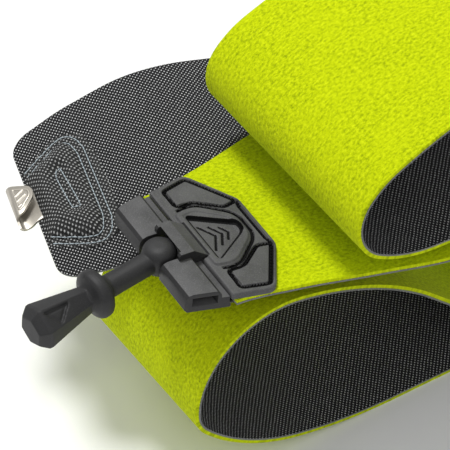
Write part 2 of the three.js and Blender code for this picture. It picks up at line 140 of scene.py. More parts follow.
def follow(bends, direction, s, w, t):
    """Points at arrays s along one side of the path, w across it and t inwards from the plush face."""
    shape = (len(s), 1)
    along = np.tile([direction, 0.0, 0.0], shape)
    across = np.tile([0.0, 1.0, 0.0], shape)
    up = np.cross(along, across)
    origin = np.tile([float(START), 0.0, 0.0], shape)
    height = (direction * t)[:, None]
    s, w = s[:, None], w[:, None]
    done = np.zeros(len(s), bool)
    result = np.zeros((len(s), 3))
    for start, radius, angle, sign, slant in bends:
        sine, cosine = math.sin(slant), math.cos(slant)
        depth = (s - start) * cosine - w * sine
        aside = (s - start) * sine + w * cosine
        flat = (depth[:, 0] <= 0) & ~done
        result[flat] = (origin + along * s + across * w + up * height)[flat]
        done |= flat
        forward = along * cosine - across * sine
        ruling = along * sine + across * cosine
        centre = origin + along * start
        turn = depth / radius
        reach = radius - sign * height
        bent = centre + ruling * aside + forward * reach * np.sin(turn)
        bent += up * sign * (radius - reach * np.cos(turn))
        inside = (depth[:, 0] < radius * angle) & ~done
        result[inside] = bent[inside]
        done |= inside
        turned = forward * math.cos(angle) + up * sign * math.sin(angle)
        raised = up * math.cos(angle) - forward * sign * math.sin(angle)
        centre = centre + forward * radius * math.sin(angle)
        centre += up * sign * radius * (1 - math.cos(angle)) - turned * radius * angle
        along = turned * cosine + ruling * sine
        across = -turned * sine + ruling * cosine
        up = raised
        origin = centre - along * start
    result[~done] = (origin + along * s + across * w + up * height)[~done]
    return result


def place(station, w, t):
    """Points of the strip by station from the plate's back edge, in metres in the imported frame."""
    station, w, t = (np.ravel(x).astype(float) for x in np.broadcast_arrays(station, w, t))
    tip_side = station < BEFORE
    points = np.where(
        tip_side[:, None],
        follow(TIP_BENDS, 1, BEFORE - station, w, t),
        follow(TAIL_BENDS, -1, station - BEFORE, w, t),
    )
    return (points + PATH_ZERO) * MM


def frame_at(station, step, yaw=0.0):
    """A matrix with +x into the skin from one end, +y across and +z out of the plush or woven face."""
    origin, ahead, side = (place(s, w, 0)[0] for s, w in ((station, 0), (station + step, 0), (station, 1)))
    x = Vector(ahead - origin).normalized()
    y = Vector(side - origin).normalized()
    z = x.cross(y)
    x = Matrix.Rotation(math.radians(yaw), 3, z) @ x
    y = z.cross(x)
    m = Matrix((x, y, z)).transposed().to_4x4()
    m.translation = Vector(origin)
    return m


TIP_FRAME = frame_at(0, 1, TIP_YAW)
TAIL_FRAME = frame_at(TOTAL, -1)

# ---- materials -----------------------------------------------------------------------------------


class Nodes:
    """A short way to build a material's node tree."""

    def __init__(self, name, roughness, metallic=0.0, sheen=0.0, coat=0.0, specular=0.5):
        self.material = bpy.data.materials.new(name)
        self.material.use_nodes = True
        self.tree = self.material.node_tree
        self.shader = self.tree.nodes["Principled BSDF"]
        self.shader.inputs["Roughness"].default_value = roughness
        self.shader.inputs["Metallic"].default_value = metallic
        self.shader.inputs["Sheen Weight"].default_value = sheen
        self.shader.inputs["Coat Weight"].default_value = coat
        self.shader.inputs["Specular IOR Level"].default_value = specular

    def add(self, kind, inputs=None, **settings):
        node = self.tree.nodes.new(kind)
        for key, value in settings.items():
            setattr(node, key, value)
        for key, value in (inputs or {}).items():
            if isinstance(value, bpy.types.NodeSocket):
                self.tree.links.new(value, node.inputs[key])
            else:
                node.inputs[key].default_value = value
        return node

    def math(self, operation, a, b=0.0):
        return self.add("ShaderNodeMath", {0: a, 1: b}, operation=operation).outputs[0]

    def noise(self, vector, scale, detail=4.0, roughness=0.6):
        values = {"Vector": vector, "Scale": scale, "Detail": detail, "Roughness": roughness}
        return self.add("ShaderNodeTexNoise", values).outputs["Fac"]

    def stretched(self, vector, scale):
        return self.add("ShaderNodeMapping", {"Vector": vector, "Scale": scale}).outputs[0]

    def remap(self, value, low, high, to_low=0.0, to_high=1.0):
        values = {"Value": value, "From Min": low, "From Max": high, "To Min": to_low, "To Max": to_high}
        return self.add("ShaderNodeMapRange", values, interpolation_type="SMOOTHSTEP").outputs[0]

    def ramp(self, value, stops):
        node = self.add("ShaderNodeValToRGB", {"Fac": value})
        elements = node.color_ramp.elements
        while len(elements) < len(stops):
            elements.new(0.5)
        for element, (position, color) in zip(elements, stops):
            element.position = position
            element.color = (*color, 1)
        return node.outputs["Color"]

    def mix(self, factor, a, b, blend="MIX"):
        node = self.add("ShaderNodeMix", data_type="RGBA", blend_type=blend)
        for socket, value in ((node.inputs[0], factor), (node.inputs[6], a), (node.inputs[7], b)):
            if isinstance(value, bpy.types.NodeSocket):
                self.tree.links.new(value, socket)
            elif isinstance(value, tuple):
                socket.default_value = (*value, 1)
            else:
                socket.default_value = value
        return node.outputs[2]

    def bump(self, height, strength, distance, normal=None):
        values = {"Height": height, "Strength": strength, "Distance": distance}
        if normal is not None:
            values["Normal"] = normal
        return self.add("ShaderNodeBump", values).outputs[0]

    def link(self, value, socket):
        self.tree.links.new(value, self.shader.inputs[socket])


def plush_material():
    """Short dense nap, with small tufts leaning along the strip."""
    n = Nodes("plush_lime", 0.92, sheen=0.18, specular=0.1)
    n.shader.inputs["Sheen Roughness"].default_value = 0.45
    n.shader.inputs["Sheen Tint"].default_value = (0.8, 0.95, 0.12, 1)
    uv = n.add("ShaderNodeUVMap", uv_map="strip").outputs[0]
    tufts = n.noise(n.stretched(uv, (620, 900, 1)), 1.0, 3.0, 0.65)
    fine = n.noise(n.stretched(uv, (1500, 2200, 1)), 1.0, 2.0, 0.6)
    lie = n.noise(n.stretched(uv, (45, 70, 1)), 1.0, 3.0, 0.55)
    shade = n.ramp(tufts, [(0.30, (0.23, 0.30, 0.0)), (0.5, (0.46, 0.56, 0.0)), (0.70, (0.64, 0.74, 0.006))])
    pale = n.mix(n.remap(lie, 0.35, 0.75, 0.0, 0.4), shade, (0.57, 0.67, 0.001))
    spark = n.remap(fine, 0.62, 0.78, 0.0, 0.5)
    n.link(n.mix(spark, pale, (0.76, 0.87, 0.06)), "Base Color")
    coarse = n.bump(tufts, 0.8, 0.0006)
    n.link(n.bump(fine, 0.5, 0.0002, coarse), "Normal")
    return n.material


def woven_material(name, light, dark, pitch, row, width=0.36, haze=0.0):
    """Plain weave of a dark ground with light yarn dots in staggered rows."""
    n = Nodes(name, 0.75, specular=0.25)
    uv = n.add("ShaderNodeUVMap", uv_map="strip").outputs[0]
    wander = n.noise(n.stretched(uv, (300, 300, 1)), 1.0, 2.0)
    parts = n.add("ShaderNodeSeparateXYZ", {0: uv})
    jitter = n.math("MULTIPLY", n.math("SUBTRACT", wander, 0.5), 0.0004)
    along = n.math("ADD", parts.outputs[0], jitter)
    across = n.math("ADD", parts.outputs[1], jitter)
    wave_a = n.math("SINE", n.math("MULTIPLY", along, math.pi / row))
    wave_b = n.math("SINE", n.math("MULTIPLY", across, math.pi / pitch))
    crests = n.math("MULTIPLY", wave_a, wave_b)
    dots = n.remap(crests, 1 - width * 1.8, 0.92)
    grain = n.noise(n.stretched(uv, (1400, 1400, 1)), 1.0, 2.0)
    bright = n.math("MULTIPLY", dots, n.remap(grain, 0.3, 0.65, 0.45, 1.0))
    ground = n.mix(n.remap(grain, 0.35, 0.7), dark, tuple(c * 3.2 + 0.004 + haze for c in dark))
    n.link(n.mix(bright, ground, light), "Base Color")
    rise = n.bump(crests, 0.9, 0.00025)
    n.link(n.bump(grain, 0.35, 0.0001, rise), "Normal")
    return n.material


def moulded_material(name, color, roughness, grain=0.35, specular=0.5):
    """Spark-eroded plastic: fine grain and faint, broad variation."""
    n = Nodes(name, roughness, specular=specular)
    at = n.add("ShaderNodeTexCoord").outputs["Object"]
    fine = n.noise(at, 2300, 3.0)
    broad = n.noise(at, 90, 4.0)
    dark = tuple(c * 0.82 for c in color)
    light = tuple(min(1, c * 1.2) for c in color)
    base = n.mix(n.remap(broad, 0.3, 0.7), dark, light)
    speckled = n.mix(n.remap(fine, 0.48, 0.72, 0, 0.6), base, tuple(min(1, c * 1.9) for c in color))
    n.link(speckled, "Base Color")
    n.link(n.remap(broad, 0.3, 0.7, roughness - 0.06, roughness + 0.08), "Roughness")
    n.link(n.bump(fine, grain, 0.00008), "Normal")
    return n.material


def metal_material(name, color, roughness):
    """Satin nickel with faint rolling marks and slightly dulled patches."""
    n = Nodes(name, roughness, metallic=0.75)
    at = n.add("ShaderNodeTexCoord").outputs["Object"]
    marks = n.noise(n.stretched(at, (300, 2500, 300)), 1.0, 3.0)
    patches = n.noise(at, 120, 4.0)
    dull = tuple(c * 0.8 for c in color)
    n.link(n.mix(n.remap(patches, 0.35, 0.7), color, dull), "Base Color")
    n.link(n.remap(patches, 0.3, 0.7, roughness - 0.05, roughness + 0.12), "Roughness")
    n.link(n.bump(marks, 0.15, 0.00005), "Normal")
    return n.material


def thread_material(name, color, specular):
    """Twisted sewing thread."""
    n = Nodes(name, 0.6, specular=specular)
    at = n.add("ShaderNodeTexCoord").outputs["Object"]
    twist = n.noise(at, 5200, 2.0)
    n.link(n.mix(n.remap(twist, 0.3, 0.7), tuple(c * 0.6 for c in color), color), "Base Color")
    n.link(n.bump(twist, 0.6, 0.0001), "Normal")
    return n.material


PLUSH_MATERIAL = plush_material()
WOVEN = woven_material("backing_weave", (0.78, 0.79, 0.78), (0.003, 0.003, 0.0035), 0.00095, 0.00085, 0.34)
CUT_EDGE = moulded_material("backing_cut_edge", (0.16, 0.165, 0.16), 0.8, 1.0, 0.2)
PATCH = woven_material(
    "patch_weave", (0.50, 0.51, 0.50), (0.008, 0.008, 0.008), 0.00105, 0.00095, 0.44, 0.006
)
MOULDED = moulded_material("moulded_grey", (0.078, 0.078, 0.0785), 0.5, 0.8, 0.22)
# Near-black painted shade in the plate's grooves, on the recess's wall and in the chevrons.
GROOVE_SHADE = moulded_material("painted_groove_shade", (0.004, 0.004, 0.0042), 0.7, 0.2, 0.1)
# A darker grey: painted shade on the housing's sides and slots; the clamp plate is this grey all over.
DARK_GREY_AND_SIDE_SHADE = moulded_material("moulded_dark_grey_and_painted_side_shade", (0.022, 0.022, 0.0225), 0.45, 0.5, 0.3)
RUBBER = moulded_material("rubber_dark", (0.019, 0.019, 0.0195), 0.55, 0.2, 0.35)
NICKEL = metal_material("nickel_satin", (0.54, 0.505, 0.44), 0.34)
STEEL = metal_material("steel_pin", (0.5, 0.5, 0.5), 0.3)
BLACK_THREAD = thread_material("thread_black", (0.004, 0.004, 0.0045), 0.1)
GREY_THREAD = thread_material("thread_grey", (0.50, 0.58, 0.62), 0.4)

# ---- mesh helpers --------------------------------------------------------------------------------


def make_object(name, vertices, faces, materials, uvs=None, smooth=True, face_materials=None):
    mesh = bpy.data.meshes.new(name)
    mesh.from_pydata([tuple(v) for v in vertices], [], [tuple(int(i) for i in f) for f in faces])
    for material in materials:
        mesh.materials.append(material)
    if face_materials is not None:
        mesh.polygons.foreach_set("material_index", np.asarray(face_materials, np.int32))
    if uvs is not None:
        layer = mesh.uv_layers.new(name="strip")
        corner = np.zeros(len(mesh.loops), np.int32)
        mesh.loops.foreach_get("vertex_index", corner)
        layer.data.foreach_set("uv", np.asarray(uvs, np.float32)[corner].ravel())
    mesh.polygons.foreach_set("use_smooth", np.full(len(mesh.polygons), smooth))
    mesh.update()
    obj = bpy.data.objects.new(name, mesh)
    bpy.context.scene.collection.objects.link(obj)
    return obj


def put(obj, body, slot, *nodes, matrix=None):
    """Finishes a piece: moved into the row frame, riding on its body, standing for its CAD nodes."""
    if matrix is not None:
        obj.data.transform(matrix)
    if body:
        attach(obj, body)
    if nodes:
        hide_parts(*nodes)
    return obj


def sharpen(obj, degrees=35):
    """Smooth shading with hard edges where faces meet at more than this angle."""
    mesh = obj.data
    bm = bmesh.new()
    bm.from_mesh(mesh)
    for edge in bm.edges:
        edge.smooth = not (edge.is_manifold and edge.calc_face_angle(0) > math.radians(degrees))
    for face in bm.faces:
        face.smooth = True
    bm.to_mesh(mesh)
    bm.free()
    return obj


def bevelled(node, name, width, material, segments=3, angle=28):
    """A copy of a CAD node with its flat faces merged and its edges rounded."""
    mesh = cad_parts[node].data.copy()
    mesh.name = name
    bm = bmesh.new()
    bm.from_mesh(mesh)
    bmesh.ops.remove_doubles(bm, verts=bm.verts, dist=2e-6)
    edges = [e for e in bm.edges if e.is_manifold and e.calc_face_angle(0) < math.radians(1.5)]
    bmesh.ops.dissolve_edges(bm, edges=edges, use_verts=True)
    bm.to_mesh(mesh)
    bm.free()
    mesh.materials.clear()
    mesh.materials.append(material)
    obj = bpy.data.objects.new(name, mesh)
    bpy.context.scene.collection.objects.link(obj)
    modifier = obj.modifiers.new("rounding", "BEVEL")
    modifier.width = width * MM
    modifier.segments = segments
    modifier.limit_method = "ANGLE"
    modifier.angle_limit = math.radians(angle)
    modifier.harden_normals = True
    mesh.polygons.foreach_set("use_smooth", np.full(len(mesh.polygons), True))
    apply_modifiers(obj)
    return obj


def apply_modifiers(obj):
    graph = bpy.context.evaluated_depsgraph_get()
    bpy.context.view_layer.update()
    mesh = bpy.data.meshes.new_from_object(obj.evaluated_get(graph))
    obj.modifiers.clear()
    obj.data = mesh


def rounded_outline(corners, steps=7):
    """A closed outline in millimetres from corners (x, y, radius), each rounded by a curve."""
    points = []
    for i, (x, y, r) in enumerate(corners):
        corner = np.array([x, y], float)
        if r <= 0:
            points.append(corner)
            continue
        before = np.array(corners[i - 1][:2], float) - corner
        after = np.array(corners[(i + 1) % len(corners)][:2], float) - corner
        p = corner + before / np.linalg.norm(before) * r
        q = corner + after / np.linalg.norm(after) * r
        for u in np.linspace(0, 1, steps):
            points.append((1 - u) ** 2 * p + 2 * u * (1 - u) * corner + u * u * q)
    return np.array(points)


def mirrored(corners):
    """Corners of the far half followed by their mirror images on the near half."""
    return list(corners) + [(x, -y, *rest) for x, y, *rest in reversed(corners)]


def line_distance(points, line):
    """Distance from each point to a polyline."""
    best = np.full(len(points), 1e9)
    for a, b in zip(line[:-1], line[1:]):
        a, b = np.asarray(a, float), np.asarray(b, float)
        d = b - a
        u = np.clip((points - a) @ d / max(d @ d, 1e-12), 0, 1)
        best = np.minimum(best, np.linalg.norm(points - a - u[:, None] * d, axis=1))
    return best


def inside_distance(points, outline):
    """Signed distance to a closed outline, positive inside."""
    ring = np.vstack([outline, outline[:1]])
    distance = line_distance(points, ring)
    x, y = points[:, 0], points[:, 1]
    crossings = np.zeros(len(points), int)
    for (x0, y0), (x1, y1) in zip(ring[:-1], ring[1:]):
        if y0 == y1:
            continue
        hit = ((y0 > y) != (y1 > y)) & (x < (x1 - x0) * (y - y0) / (y1 - y0) + x0)
        crossings += hit
    return np.where(crossings % 2 == 1, distance, -distance)


def step(value, low, high):
    """0 below low, 1 above high, and a smooth rise between them."""
    u = np.clip((value - low) / (high - low), 0, 1)
    return u * u * (3 - 2 * u)


def resampled(outline, spacing):
    """Evenly spaced points along a closed outline."""
    ring = np.vstack([outline, outline[:1]])
    lengths = np.r_[0, np.cumsum(np.linalg.norm(np.diff(ring, axis=0), axis=1))]
    count = max(12, int(lengths[-1] / spacing))
    s = np.arange(count) * lengths[-1] / count
    return np.stack([np.interp(s, lengths, ring[:, k]) for k in (0, 1)], axis=1)


def moulding(name, outline, spacing, top, bottom, materials, sunk=None):
    """A closed body over an outline, with height functions of (x, y) for its two faces. sunk(points)
    says how deep in a groove each point of the upper face lies, and the faces deep in a groove take the
    second material, a near-black painted shade."""
    rim = resampled(outline, spacing)
    low, high = rim.min(0), rim.max(0)
    xs = np.arange(low[0], high[0], spacing)
    ys = np.arange(low[1], high[1], spacing)
    grid = np.stack(np.meshgrid(xs, ys, indexing="ij"), -1).reshape(-1, 2)
    grid = grid[inside_distance(grid, rim) > spacing * 0.6]
    points = np.vstack([rim, grid])
    edges = [(i, (i + 1) % len(rim)) for i in range(len(rim))]
    found = delaunay_2d_cdt([Vector(p) for p in points], edges, [], 1, 1e-6)
    flat = np.array([tuple(p) for p in found[0]])
    triangles = np.array(found[2])
    count = len(flat)
    made_from = {given: i for i, origins in enumerate(found[3]) for given in origins}
    border = [made_from[i] for i in range(len(rim))]
    upper = np.column_stack([flat, top(flat)])
    lower = np.column_stack([flat, bottom(flat)])
    area = np.sum(rim[:, 0] * np.roll(rim[:, 1], -1) - np.roll(rim[:, 0], -1) * rim[:, 1])
    first = flat[triangles]
    turn = np.cross(first[:, 1] - first[:, 0], first[:, 2] - first[:, 0])
    triangles = np.where(turn[:, None] > 0, triangles, triangles[:, ::-1])
    faces = [tuple(t) for t in triangles] + [tuple(int(i) + count for i in t[::-1]) for t in triangles]
    for a, b in zip(border, border[1:] + border[:1]):
        side = (a, a + count, b + count, b)
        faces.append(side if area > 0 else side[::-1])
    vertices = np.vstack([upper, lower]) * MM
    uvs = np.vstack([flat, flat]) * MM
    kinds = np.zeros(len(faces), int)
    if sunk is not None:
        # Faces deep in a groove take the second material, a painted shade.
        kinds[:len(triangles)] = sunk(flat[triangles].mean(axis=1)) > 0.5
    return sharpen(make_object(name, vertices, faces, materials, uvs, True, kinds), 50)


def dashes(points, length, gap, radius, lift=0.0, sides=6):
    """Stitches: a row of short, slightly arched capsules along a polyline of 3-D points, in mm."""
    points = np.asarray(points, float)
    lengths = np.r_[0, np.cumsum(np.linalg.norm(np.diff(points, axis=0), axis=1))]
    vertices, faces = [], []
    start = 0.0
    while start + length * 0.5 < lengths[-1]:
        stop = min(start + length, lengths[-1])
        s = np.linspace(start, stop, 6)
        path = np.stack([np.interp(s, lengths, points[:, k]) for k in range(3)], axis=1)
        u = np.linspace(0, 1, 6)
        path[:, 2] += lift * np.sin(np.pi * u)
        thick = radius * np.array([0.35, 0.85, 1, 1, 0.85, 0.35])
        tangent = path[-1] - path[0]
        tangent /= max(np.linalg.norm(tangent), 1e-9)
        side = np.cross(tangent, [0, 0, 1.0])
        side /= max(np.linalg.norm(side), 1e-9)
        rise = np.cross(side, tangent)
        base = len(vertices)
        for p, r in zip(path, thick):
            for k in range(sides):
                a = 2 * math.pi * k / sides
                vertices.append((p + r * (math.cos(a) * side + math.sin(a) * rise)) * MM)
        for ring in range(5):
            for k in range(sides):
                a, b = base + ring * sides + k, base + ring * sides + (k + 1) % sides
                faces.append((a, a + sides, b + sides, b))
        faces.append(tuple(base + k for k in range(sides)))
        faces.append(tuple(base + 5 * sides + k for k in reversed(range(sides))))
        start += length + gap
    return vertices, faces


# ---- the skin ------------------------------------------------------------------------------------
def stations(start, stop, spacing=2.2):
    """Stations along a piece, closer together where the strip bends tightly and at the tail's corners."""
    wanted = [start, stop]
    for bends, sign in ((TIP_BENDS, -1), (TAIL_BENDS, 1)):
        for at, radius, angle, _, slant in bends:
            reach = 55 * abs(math.tan(slant)) + 2
            count = max(2, int((radius * angle + 2 * reach) / min(spacing, radius * 0.16)))
            wanted += list(BEFORE + sign * np.linspace(at - reach, at + radius * angle + reach, count))
    wanted += list(np.arange(start, stop, spacing * 1.3))
    wanted += list(TOTAL - TAIL_CORNER * (1 - np.cos(np.linspace(0, math.pi / 2, 14))))
    s = np.unique(np.round([x for x in wanted if start <= x <= stop], 3))
    kept = [s[0]]
    for x in s[1:]:
        limit = 0.02 if TOTAL - x < TAIL_CORNER + 0.5 else 0.55
        if x - kept[-1] >= limit:
            kept.append(x)
    if kept[-1] != s[-1]:
        kept[-1] = s[-1]
    return np.array(kept)


def skin_layer(name, start, stop, outer, inner, material, lip=0.0, across=34):
    """One layer of the strip between two stations, closed all round. At the tail the plush is trimmed
    just short of the backing."""
    trimmed = 0.0 if lip else TAIL_TRIM
    s = stations(start, min(stop, TOTAL - trimmed))
    share = np.sin(np.linspace(-math.pi / 2, math.pi / 2, across)) * 0.35 + np.linspace(-1, 1, across) * 0.65
    grid_s, grid_share = np.meshgrid(s, share, indexing="ij")
    half = half_width(grid_s) + lip - trimmed * step(grid_s, TOTAL - TAIL_PIECE, TOTAL - 25)
    layers = []
    for depth in (outer, inner):
        layers.append(place(grid_s, grid_share * half, depth))
    vertices = np.vstack(layers)
    uv = np.stack([grid_s.ravel(), (grid_share * half).ravel()], axis=1) * MM
    uvs = np.vstack([uv, uv])
    rows, columns = grid_s.shape
    count = rows * columns
    index = np.arange(count).reshape(rows, columns)
    a, b = index[:-1, :-1].ravel(), index[:-1, 1:].ravel()
    c, d = index[1:, 1:].ravel(), index[1:, :-1].ravel()
    outer_faces = np.stack([a, b, c, d], axis=1)
    inner_faces = np.stack([a, d, c, b], axis=1) + count
    sides = []
    for line, flip in ((index[:, 0], False), (index[:, -1], True), (index[0], True), (index[-1], False)):
        p, q = line[:-1], line[1:]
        quad = np.stack([p, q, q + count, p + count], axis=1)
        sides.append(quad[:, ::-1] if flip else quad)
    faces = np.vstack([outer_faces, inner_faces, *sides])
    kinds = np.zeros(len(faces), int)
    kinds[2 * len(outer_faces):] = 1
    materials = [material, CUT_EDGE if lip else material]
    obj = make_object(name, vertices, faces, materials, uvs, True, kinds)
    if signed_volume(obj) < 0:
        obj.data.flip_normals()
    return sharpen(obj, 60)


def signed_volume(obj):
    bm = bmesh.new()
    bm.from_mesh(obj.data)
    volume = bm.calc_volume(signed=True)
    bm.free()
    return volume


def hinge_span(station, reach):
    """The two ends of the stretch over which the skin bends at a hinge line."""
    return [Vector(place(station + k * reach, 0, SKIN / 2)[0]) for k in (-1, 1)]


def build_skin():
    pieces = [
        ("tip", 0.0, TIP_PIECE),
        ("main", TIP_PIECE, TOTAL - TAIL_PIECE),
        ("tail", TOTAL - TAIL_PIECE, TOTAL),
    ]
    sections = {
        "tip": ["tip"],
        "main": ["tip_pass", "upper_loop", "outer_bend", "lower_loop", "rear_pass"],
        "tail": ["tail"],
    }
    for name, start, stop in pieces:
        plush = skin_layer(f"plush_{name}_piece", start, stop, 0.0, PLUSH, PLUSH_MATERIAL)
        backing = skin_layer(f"backing_{name}_piece", start, stop, PLUSH, SKIN, WOVEN, EDGE_LIP)
        for obj, slot in ((plush, "plush"), (backing, "backing")):
            if name == "main":
                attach(obj, "skin")
            elif name == "tip":
                near, far = hinge_span(TIP_HINGE, 5)
                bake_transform(obj)
            else:
                near, far = hinge_span(TOTAL - TAIL_HINGE, 7)
                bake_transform(obj)
        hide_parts(*[f"skin_plush_{s}" for s in sections[name]])
        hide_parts(f"skin_backing_{name}")
        flat = (2 * half_width(np.linspace(start, stop, 200))).mean() * (stop - start) * MM * MM
        wide = 2 * half_width(np.linspace(start, stop, 200)).max() * MM


build_skin()

# ---- tip connector -------------------------------------------------------------------------------
PLATE_TOP = 2.5
PLATE_ROUND = 0.75    # radius of the upper edge
PLATE_CORNERS = mirrored([(0.0, 30, 0.8), (16, 33.4, 3.5), (28, 13.2, 1.5)])
RING = rounded_outline(mirrored([(1.6, 15, 2), (10, 16.4, 4), (22, 6, 4)]))
RECESS = rounded_outline(mirrored([(4.8, 13.2, 2.5), (21, 2.6, 2.2)]))
FAR_PANEL = [(26.3, 12.6), (15.2, 30.6), (4.6, 28), (4.9, 18.6), (11.6, 18.4), (20.8, 11.4)]
FRONT_LINE = [(26.4, 12.2), (25.8, 9.2), (25.8, -9.2), (26.4, -12.2)]
SOCKET_HALF = 9.4     # half the notch that takes the housing's bridge
# Half width of each groove's floor, and where its wall reaches the surface.
PANEL_GROOVE = (0.6, 0.95)
FRONT_GROOVE = (0.55, 0.9)
MOAT = (0.4, 0.85)
MOAT_OFFSET = 1.15    # the moat's middle, outside the ring
MOAT_ENDS = (3.5, 4.5)
PLATE_STITCH = (1.25, 0.35, 0.3, 0.12)      # length, gap, radius and arch of a stitch
CHEVRONS = [[(x, y), (x + y * 0.55, 0), (x, -y)] for x, y in ((7.0, 6.6), (10.6, 5.0), (14.0, 3.4))]


def polyline(points, steps=9):
    """A smooth curve through points."""
    points = np.asarray(points, float)
    ends = np.vstack([2 * points[0] - points[1], points, 2 * points[-1] - points[-2]])
    curve = []
    for p0, p1, p2, p3 in zip(ends[:-3], ends[1:-2], ends[2:-1], ends[3:]):
        for u in np.linspace(0, 1, steps)[:-1]:
            curve.append(0.5 * (2 * p1 + (p2 - p0) * u + (2 * p0 - 5 * p1 + 4 * p2 - p3) * u * u
                                + (3 * p1 - p0 - 3 * p2 + p3) * u ** 3))
    curve.append(points[-1])
    return np.array(curve)


def panel_line(side):
    """The groove round one of the plate's two side panels."""
    return rounded_outline([(x, side * y, 1.6) for x, y in FAR_PANEL])


def groove_shade_mask(p):
    """How far each point lies in a groove, a rib or the recess's wall, from 0 on the surface to 1. Where
    this passes one half, the plate takes a near-black painted shade.
    """
    ring = inside_distance(p, RING)
    recess = inside_distance(p, RECESS)
    panels = min_distance(p, [closed(panel_line(side)) for side in (-1, 1)])
    sunk = (1 - step(panels, *PANEL_GROOVE)) * (1 - step(ring, -0.4, 0.3))
    front = line_distance(p, np.array(FRONT_LINE))
    sunk = np.maximum(sunk, 1 - step(front, *FRONT_GROOVE))
    moat = (1 - step(np.abs(ring + MOAT_OFFSET), *MOAT)) * step(p[:, 0], *MOAT_ENDS)
    sunk = np.maximum(sunk, moat)
    wall = (1 - step(np.abs(recess - 0.5), 0.5, 0.85)) * 0.95
    sunk = np.maximum(sunk, wall)
    ribs = (1 - step(min_distance(p, CHEVRONS), 0.35, 0.6)) * step(recess, 0.4, 0.9)
    return np.maximum(sunk, ribs * 0.92)


def plate_top(p):
    """The plate's upper face: a raised ring round a sunk recess with chevrons, and grooves with stitches."""
    z = np.full(len(p), PLATE_TOP)
    outline = rounded_outline(PLATE_CORNERS)
    edge = inside_distance(p, outline)
    ring = inside_distance(p, RING)
    recess = inside_distance(p, RECESS)
    z += 0.95 * step(ring, -0.15, 0.75)
    z -= 0.45 * step(ring, 2.3, 2.9)
    z -= 1.5 * step(recess, -0.1, 0.35)
    z -= 0.4 * (1 - step(min_distance(p, CHEVRONS), 0.3, 0.6)) * step(recess, 0.6, 1.2)
    panels = min_distance(p, [closed(panel_line(side)) for side in (-1, 1)])
    z -= 1.25 * (1 - step(panels, *PANEL_GROOVE)) * (1 - step(ring, -0.4, 0.3))
    front = line_distance(p, np.array(FRONT_LINE))
    z -= 1.1 * (1 - step(front, *FRONT_GROOVE))
    z -= 1.2 * (1 - step(np.abs(ring + MOAT_OFFSET), *MOAT)) * step(p[:, 0], *MOAT_ENDS)
    round_off = np.clip(PLATE_ROUND - edge, 0, PLATE_ROUND)
    z -= PLATE_ROUND - np.sqrt(np.maximum(PLATE_ROUND ** 2 - round_off ** 2, 0))
    return z


def closed(line):
    """A polyline with its first point repeated at its end."""
    return np.vstack([line, line[:1]])


def min_distance(p, lines):
    """Distance from each point to the nearest of several polylines."""
    best = np.full(len(p), 1e9)
    for line in lines:
        best = np.minimum(best, line_distance(p, line))
    return best


def notched_plate_outline():
    """The plate's outline, with the notch behind it that takes the housing's bridge."""
    outline = rounded_outline(PLATE_CORNERS)
    first = int(np.argmin(np.abs(outline[:, 0]) + np.abs(outline[:, 1] - 30)))
    outline = np.roll(outline, -first, axis=0)
    notch = [(0, -SOCKET_HALF), (2.6, -SOCKET_HALF), (2.6, SOCKET_HALF), (0, SOCKET_HALF)]
    return np.vstack([outline, notch])


def build_plate():
    plate = moulding(
        "tip_plate_moulding", notched_plate_outline(), 0.27, plate_top, lambda p: np.full(len(p), 0.05),
        [MOULDED, GROOVE_SHADE], groove_shade_mask
    )
    put(plate, "tip", "moulded", "tip_plate", matrix=TIP_FRAME)
    rows = {"front": (FRONT_LINE, 0.9)}
    for name, side in (("far", 1), ("near", -1)):
        line = closed(panel_line(side))
        rows[name] = ([p for p in line if inside_distance(p[None], RING)[0] < -1.9], 1.0)
    for name in ("far", "near", "front"):
        line, depth = rows[name]
        vertices, faces = dashes([(x, y, PLATE_TOP - depth) for x, y in line], *PLATE_STITCH)
        thread = make_object(f"plate_stitches_{name}", vertices, faces, [BLACK_THREAD])
        put(thread, "tip", "plate_thread", f"plate_thread_{name}", matrix=TIP_FRAME)


build_plate()

housing = bevelled("connector_housing", "connector_housing_moulding", 0.55, MOULDED)
# Faces that look out of the plate's plane keep the lighter grey; the sides and slots take the darker one, as
# painted shade.
housing.data.materials.append(DARK_GREY_AND_SIDE_SHADE)
tip_up = TIP_FRAME.to_3x3().col[2]
for polygon in housing.data.polygons:
    polygon.material_index = int(polygon.normal.dot(tip_up) < 0.75)
put(housing, "tip", "moulded", "connector_housing")
clamp = bevelled("clamp_plate", "clamp_plate_moulding", 0.4, DARK_GREY_AND_SIDE_SHADE)
put(clamp, "tip", "moulded", "clamp_plate")
pin = bevelled("toggle_cross_pin", "cross_pin_turned", 0.25, STEEL, 2)
put(pin, "tip", "steel", "toggle_cross_pin")

# ---- rubber toggle -------------------------------------------------------------------------------
PIN_X, PIN_Z = -12.3, 0.4
DROOP = math.radians(6)
BEND = math.radians(9)             # the rubber is bent a little towards the near side
GRIP_TURN = math.radians(38)       # the grip's flats are turned towards the near side
KNOB_RADIUS, KNOB_RISE = 6.5, 6.2


def ring_points(x, half_y, half_z, power, count=64):
    """A superellipse section across the toggle at x; a high power gives flatter sides."""
    a = np.linspace(0, 2 * math.pi, count, endpoint=False)
    c, s = np.cos(a), np.sin(a)
    r = (np.abs(c) ** power + np.abs(s) ** power) ** (-1 / power)
    return np.stack([np.full(count, x), half_y * r * c, half_z * r * s], axis=1)


def loft(name, rings, material):
    """A closed body through rings of points in millimetres."""
    count = len(rings[0])
    vertices = np.vstack(rings)
    faces = []
    for i in range(len(rings) - 1):
        for k in range(count):
            a, b = i * count + k, i * count + (k + 1) % count
            faces.append((a, b, b + count, a + count))
    faces.append(tuple(reversed(range(count))))
    faces.append(tuple((len(rings) - 1) * count + k for k in range(count)))
    return make_object(name, vertices * MM, faces, [material])


